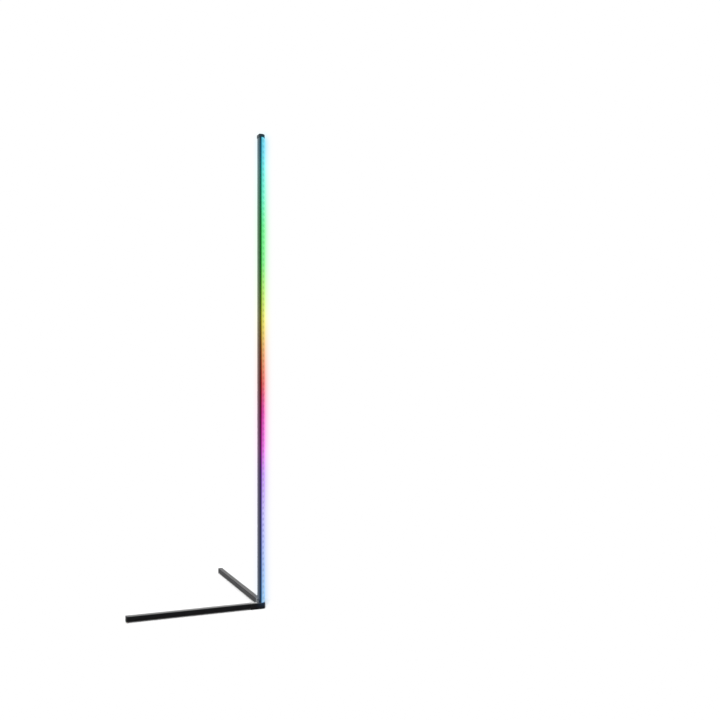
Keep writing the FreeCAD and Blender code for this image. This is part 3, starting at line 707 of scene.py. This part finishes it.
legValues = {
    "wide": 14, "tall": 15, "wall": 1.2, "round": 0.8, "lift": 3.4,
    "insideRound": 0.3, "insideSteps": 3,
    "cutEdge": 0.12,  # broken edges at the cut ends
    "start": 41.4, "end": 406, "reach": 410,
    "capSide": 0.8, "capOver": 0.5, "capRound": 2, "capSteps": 7,
    "capRim": 0.7, "capRimSteps": 6, "capBackRim": 0.25,
    "plugFit": 0.12, "plugWall": 1.6, "plugLength": 14, "plugRound": 0.5,
    "plugTaper": 0.5, "plugTaperLong": 0.8,
    "footWide": 11, "footThick": 3, "footHigh": 3.7, "footRound": 1, "footRim": 0.35,
    "leastRound": 0.05,
}


# Rounded rectangle about a middle, as (across, up) points moved in by an inset.
def rectangleLoop(halfWide, low, high, radius, inset=0.0, steps=5):
    left, right, low, high = -halfWide + inset, halfWide - inset, low + inset, high - inset
    corners = [(left, low), (right, low), (right, high), (left, high)]
    return roundedLoop(corners, max(radius - inset, legValues["leastRound"]), steps)


# Loops drawn as (across, up) and set at distances along the leg.
def alongLeg(loops, distances, side):
    wall = wallOf(loops, distances)
    return fromLeg(wall[..., [2, 0, 1]], side)


# Tube: the outer rectangle, drawn in a little at both cut ends, and the inner one, a wall inside.
def makeLeg(side, values):
    low, high = values["lift"], values["lift"] + values["tall"]
    half, wall, cut = values["wide"] / 2, values["wall"], values["cutEdge"]
    stops = [values["start"], values["start"] + cut, values["end"] - cut, values["end"]]
    insets = [cut, 0, 0, cut]
    outside = [rectangleLoop(half, low, high, values["round"], inset) for inset in insets]
    inside = rectangleLoop(
        half - wall, low + wall, high - wall, values["insideRound"], steps=values["insideSteps"]
    )
    walls = [alongLeg(outside, stops, side), alongLeg([inside] * 2, [stops[0], stops[-1]], side)]
    fills = [[(0, 0), (1, 0)], [(0, 3), (1, 1)]]
    # each leg takes its own copy of one coat, with painted light or painted shade in its base
    # colour
    name, coat = f"{side}_leg", surfaces[f"{side}LegCoat"]
    axis = 0 if side == "near" else 1
    shellFrom(f"{side}LegTube", walls, fills, coat, [name], drawnAlong=axis)


# Cap: a rounded plate over the tube's end with a rim on both sides, a plug inside the tube that
# tapers at its tip, and the plug's own hollow.
def makeLegCap(side, values):
    half = values["wide"] / 2 + values["capSide"]
    low = values["lift"] - values["capOver"]
    high = values["lift"] + values["tall"] + values["capOver"]
    backInset, backRise = rimSteps(values["capBackRim"])
    rimInset, rimRise = rimSteps(values["capRim"], values["capRimSteps"])
    insets = np.concatenate([backInset, rimInset[::-1]])
    stops = np.concatenate([values["end"] + backRise, values["reach"] - rimRise[::-1]])
    outside = [
        rectangleLoop(half, low, high, values["capRound"], inset, values["capSteps"])
        for inset in insets
    ]
    gap = values["wall"] + values["plugFit"]
    plugHalf = values["wide"] / 2 - gap
    plugLow, plugHigh = values["lift"] + gap, values["lift"] + values["tall"] - gap
    steps = values["insideSteps"]
    plug = [
        rectangleLoop(plugHalf, plugLow, plugHigh, values["plugRound"], inset, steps)
        for inset in (values["plugTaper"], 0, 0)
    ]
    thick = values["plugWall"]
    core = rectangleLoop(
        plugHalf - thick, plugLow + thick, plugHigh - thick, values["insideRound"], steps=steps
    )
    tip = values["end"] - values["plugLength"]
    walls = [
        alongLeg(outside, stops, side),
        alongLeg(plug, [tip, tip + values["plugTaperLong"], values["end"]], side),
        alongLeg([core] * 2, [tip, values["end"]], side),
    ]
    fills = [[(0, len(stops) - 1)], [(0, 0), (1, 2)], [(1, 0), (2, 0)], [(2, 1)]]
    name = f"{side}_leg_cap"
    shellFrom(f"{side}LegCap", walls, fills, surfaces["mouldedBlack"], [name])


# Foot: a rounded rectangle under the middle of the cap, with a rim where it stands.
def makeLegFoot(side, values):
    inset, rise = rimSteps(values["footRim"])
    half = values["footWide"] / 2
    middle = (values["end"] + values["reach"]) / 2
    thick = values["footThick"] / 2
    heights = np.concatenate([rise, [values["footHigh"]]])
    insets = np.concatenate([inset, [0]])
    loops = [rectangleLoop(thick, -half, half, values["footRound"], step) for step in insets]
    wall = wallOf(loops, heights)
    wall[..., 0] += middle
    wall = fromLeg(wall, side)
    fills = [[(0, 0)], [(0, len(heights) - 1)]]
    name = f"{side}_leg_foot"
    shellFrom(f"{side}LegFoot", [wall], fills, surfaces["footClear"], [name])


for side in ("near", "far"):
    makeLeg(side, legValues)
    makeLegCap(side, legValues)
    makeLegFoot(side, legValues)
print("legs: done")


# Corner connector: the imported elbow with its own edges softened.

connectorValues = {
    "edge": 0.3, "segments": 2, "profile": 0.5,  # of the softened edges
    "mergeWithin": 1e-6,  # metres
    "flatUnder": 1.5, "softenOver": 40, "sharpOver": 50,  # degrees between two faces
}


# Merged triangles, those in one plane joined to one face, and each edge past the angle bevelled.
def makeConnector(values):
    mesh = cadNodes["corner_connector"].data.copy()
    mesh.name = "cornerElbow"
    work = bmesh.new()
    work.from_mesh(mesh)
    bmesh.ops.remove_doubles(work, verts=work.verts, dist=values["mergeWithin"])
    flat = math.radians(values["flatUnder"])
    bmesh.ops.dissolve_limit(work, angle_limit=flat, verts=work.verts, edges=work.edges)
    bmesh.ops.recalc_face_normals(work, faces=work.faces)
    least = math.radians(values["softenOver"])
    sharp = [
        edge for edge in work.edges
        if len(edge.link_faces) == 2 and edge.calc_face_angle() > least
    ]
    bmesh.ops.bevel(
        work, geom=sharp, offset=values["edge"] * mm, segments=values["segments"],
        profile=values["profile"], affect="EDGES", clamp_overlap=True,
    )
    mesh.materials.clear()
    if mesh.attributes.get("custom_normal"):
        mesh.attributes.remove(mesh.attributes["custom_normal"])
    work.to_mesh(mesh)
    work.free()
    tidyMesh(mesh, values["sharpOver"])
    addPiece("cornerElbow", mesh, surfaces["elbowBlack"], ["corner_connector"])


makeConnector(connectorValues)
print("connector: done")

for node in cadNodes.values():
    dressNode(node)
print("CAD nodes: dressed")


# Floor and light.

floorValues = {"half": 30, "steps": 5, "tone": 0.18, "fill": 0.08, "rough": 0.9}


# Flat square of steps by steps points about the origin, at height 0.
def makeFloor(values):
    steps = values["steps"]
    line = np.linspace(-values["half"], values["half"], steps)
    x, y = np.meshgrid(line, line)
    points = np.column_stack([x.ravel(), y.ravel(), np.zeros(steps**2)])
    index = np.arange(steps**2).reshape(steps, steps)
    quads = np.stack([index[:-1, :-1], index[:-1, 1:], index[1:, 1:], index[1:, :-1]], axis=-1)
    mesh = bpy.data.meshes.new("floor")
    mesh.from_pydata(points.tolist(), [], quads.reshape(-1, 4).tolist())
    floor = bpy.data.objects.new("floor", mesh)
    bpy.context.scene.collection.objects.link(floor)
    material, tree, shader = newMaterial("floorPale")
    setSockets(shader, {
        "Base Color": (*grey(values["tone"]), 1),
        "Roughness": values["rough"],
        "Specular IOR Level": 0.0,
        "Emission Color": (1, 1, 1, 1),
        "Emission Strength": values["fill"],
    })
    mesh.materials.append(material)
    floor.visible_glossy = False  # a pale sweep would grey the black sides


# Surroundings: plain white where they are seen. For the light they give: dim in front, bright
# behind the lamp and above it, with one low panel behind that shows in the tops of the legs.
skyValues = {
    "seen": 1.05,
    "front": 0.10, "left": 1.15, "right": 0.35, "below": 0.85, "above": 2.3,
    # between which x, y or z of a direction one level passes to the next
    "leftToRight": (-0.15, 0.12), "belowToSides": (-0.16, -0.04),
    "frontToBack": (-0.5, 0.6), "sidesToAbove": (0.40, 0.62),
    "panel": {"turn": 19.0, "rise": 17.0, "inner": 6.0, "outer": 13.0, "level": 2.3},  # degrees
}


# Light = the largest of the back, the top and the panel. The panel is a smooth spot of the cosine
# between a direction and its own, from the outer angle to the inner one.
def makeSurroundings(values):
    world = bpy.data.worlds.new("studio")
    bpy.context.scene.world = world
    world.use_nodes = True
    tree = world.node_tree
    nodes, links = tree.nodes, tree.links
    nodes.clear()
    place = nodes.new("ShaderNodeTexCoord")
    parts = nodes.new("ShaderNodeSeparateXYZ")
    links.new(place.outputs["Generated"], parts.inputs["Vector"])

    # smooth step of a source from one value to another, between two levels
    def ramp(source, span, low, high):
        node = nodes.new("ShaderNodeMapRange")
        node.interpolation_type = "SMOOTHSTEP"
        labels = ("Value", "From Min", "From Max", "To Min", "To Max")
        for label, setting in zip(labels, (source, *span, low, high)):
            feed(tree, node.inputs[label], setting)
        return node.outputs["Result"]

    def background(strength):
        node = nodes.new("ShaderNodeBackground")
        node.inputs["Color"].default_value = (1, 1, 1, 1)
        feed(tree, node.inputs["Strength"], strength)
        return node.outputs["Background"]

    x, y, z = (parts.outputs[axis] for axis in "XYZ")
    sides = ramp(x, values["leftToRight"], values["left"], values["right"])
    lifted = ramp(z, values["belowToSides"], values["below"], sides)
    behind = ramp(y, values["frontToBack"], values["front"], lifted)
    above = ramp(z, values["sidesToAbove"], 0, values["above"])
    panel = values["panel"]
    turn, rise = math.radians(panel["turn"]), math.radians(panel["rise"])
    towards = nodes.new("ShaderNodeVectorMath")
    towards.operation = "DOT_PRODUCT"
    links.new(place.outputs["Generated"], towards.inputs[0])
    towards.inputs[1].default_value = (
        math.sin(turn) * math.cos(rise), math.cos(turn) * math.cos(rise), math.sin(rise)
    )
    reach = [math.cos(math.radians(panel[name])) for name in ("outer", "inner")]
    spot = ramp(towards.outputs["Value"], reach, 0, panel["level"])
    brightest = calculated(tree, "MAXIMUM", calculated(tree, "MAXIMUM", behind, above), spot)
    rays = nodes.new("ShaderNodeLightPath")
    mix = nodes.new("ShaderNodeMixShader")
    links.new(rays.outputs["Is Camera Ray"], mix.inputs["Fac"])
    links.new(background(brightest), mix.inputs[1])
    links.new(background(values["seen"]), mix.inputs[2])
    output = nodes.new("ShaderNodeOutputWorld")
    links.new(mix.outputs["Shader"], output.inputs["Surface"])


lightValues = {
    # name: place, aimed at, size, power
    "softLeft": ((-2.8, 1.4, 2.4), (-0.1, 0.1, 0.7), 1.8, 34),
    "softRight": ((3.0, 1.6, 2.6), (-0.1, 0.1, 0.6), 1.6, 12),
}


# A square soft light that looks at a point and is not seen itself.
def makeLight(name, place, target, size, power):
    light = bpy.data.objects.new(name, bpy.data.lights.new(name, "AREA"))
    light.data.energy = power
    light.data.size = size
    light.location = place
    direction = Vector([end - start for start, end in zip(place, target)])
    light.rotation_euler = direction.to_track_quat("-Z", "Y").to_euler()
    light.visible_camera = False
    bpy.context.scene.collection.objects.link(light)


floorSunValues = {"turn": 20, "rise": 46, "wide": 45, "power": 17.3}  # degrees


# Broad light from the front for the floor alone: the shadows stay short and the black sides black.
def makeFloorSun(values):
    sun = bpy.data.objects.new("floorSun", bpy.data.lights.new("floorSun", "SUN"))
    sun.data.energy = values["power"]
    sun.data.angle = math.radians(values["wide"])
    sun.rotation_euler = (math.radians(90 - values["rise"]), 0, -math.radians(values["turn"]))
    bpy.context.scene.collection.objects.link(sun)
    reach = bpy.data.collections.new("floorReach")
    reach.objects.link(bpy.data.objects["floor"])
    sun.light_linking.receiver_collection = reach


makeFloor(floorValues)
makeSurroundings(skyValues)
makeFloorSun(floorSunValues)
for name, row in lightValues.items():
    makeLight(name, *row)
bpy.context.scene.view_settings.view_transform = "Standard"
print("stage: done")


# Halo in the lens: the light column's own colour, blurred a little past its edges.

haloValues = {
    "wide": 10, "amount": 2.6,  # widths are in pixels
    "closeWide": 2, "closeAmount": 0.4,
    "tintWide": 14, "leastTint": 0.0001,
    "maskGain": 3.0, "ownGain": 6.0, "ownLoss": 1.4,
    "lift": 0.10, "depth": 2.5,
}


# Halo = (amount * wide blur + close amount * close blur of the mask) * (1 - own). Pale things take
# its tint, out = picture * (1 - halo * (1 - tint)), and dark ones a part of its light,
# + lift * halo * tint ^ depth * (1 - picture). Apart is how far the light's own channels are
# apart: mask = gain * apart, own = own gain * apart - own loss, both limited to 0 to 1.
def makeHalo(values):
    bpy.context.view_layer.use_pass_emit = True
    scene = bpy.context.scene
    scene.use_nodes = True
    tree = scene.node_tree
    tree.nodes.clear()

    def add(kind, *sources, **settings):
        node = tree.nodes.new("CompositorNode" + kind)
        for name, setting in settings.items():
            setattr(node, name, setting)
        for socket, source in zip(node.inputs, sources):
            feed(tree, socket, source)
        return node

    def calculate(operation, *sources, limited=False):
        return add("Math", *sources, operation=operation, use_clamp=limited).outputs[0]

    def blur(source, wide):
        return add("Blur", source, filter_type="GAUSS", size_x=wide, size_y=wide).outputs[0]

    def largest(parts):
        return calculate("MAXIMUM", calculate("MAXIMUM", parts[0], parts[1]), parts[2])

    layers = tree.nodes.new("CompositorNodeRLayers")
    # only the column's light has a hue
    lights = add("SeparateColor", layers.outputs["Emit"]).outputs
    least = calculate("MINIMUM", calculate("MINIMUM", lights[0], lights[1]), lights[2])
    apart = calculate("SUBTRACT", largest(lights), least)
    mask = calculate("MULTIPLY", apart, values["maskGain"], limited=True)
    close = calculate("MULTIPLY", blur(mask, values["closeWide"]), values["closeAmount"])
    wide = blur(mask, values["wide"])
    spread = calculate("MULTIPLY_ADD", wide, values["amount"], close, limited=True)
    # the column keeps its colour
    own = calculate("MULTIPLY_ADD", apart, values["ownGain"], -values["ownLoss"], limited=True)
    halo = calculate("MULTIPLY", spread, calculate("SUBTRACT", 1.0, own))
    picture = add("SeparateColor", layers.outputs["Image"]).outputs
    *channels, alpha = [calculate("MINIMUM", part, 1.0) for part in picture]
    tints = [blur(calculate("MULTIPLY", part, mask), values["tintWide"]) for part in channels]
    strongest = calculate("MAXIMUM", largest(tints), values["leastTint"])
    mixed = []
    for channel, tint in zip(channels, tints):
        share = calculate("DIVIDE", tint, strongest)
        loss = calculate("MULTIPLY", halo, calculate("SUBTRACT", 1.0, share))
        kept = calculate("MULTIPLY", channel, calculate("SUBTRACT", 1.0, loss))
        room = calculate("SUBTRACT", 1.0, channel, limited=True)
        deep = calculate("POWER", share, values["depth"])
        gain = calculate("MULTIPLY", calculate("MULTIPLY", halo, deep), values["lift"])
        mixed.append(calculate("MULTIPLY_ADD", gain, room, kept))
    result = add("CombineColor", *mixed, alpha)
    add("Composite", result.outputs[0])


makeHalo(haloValues)
print("halo: done")
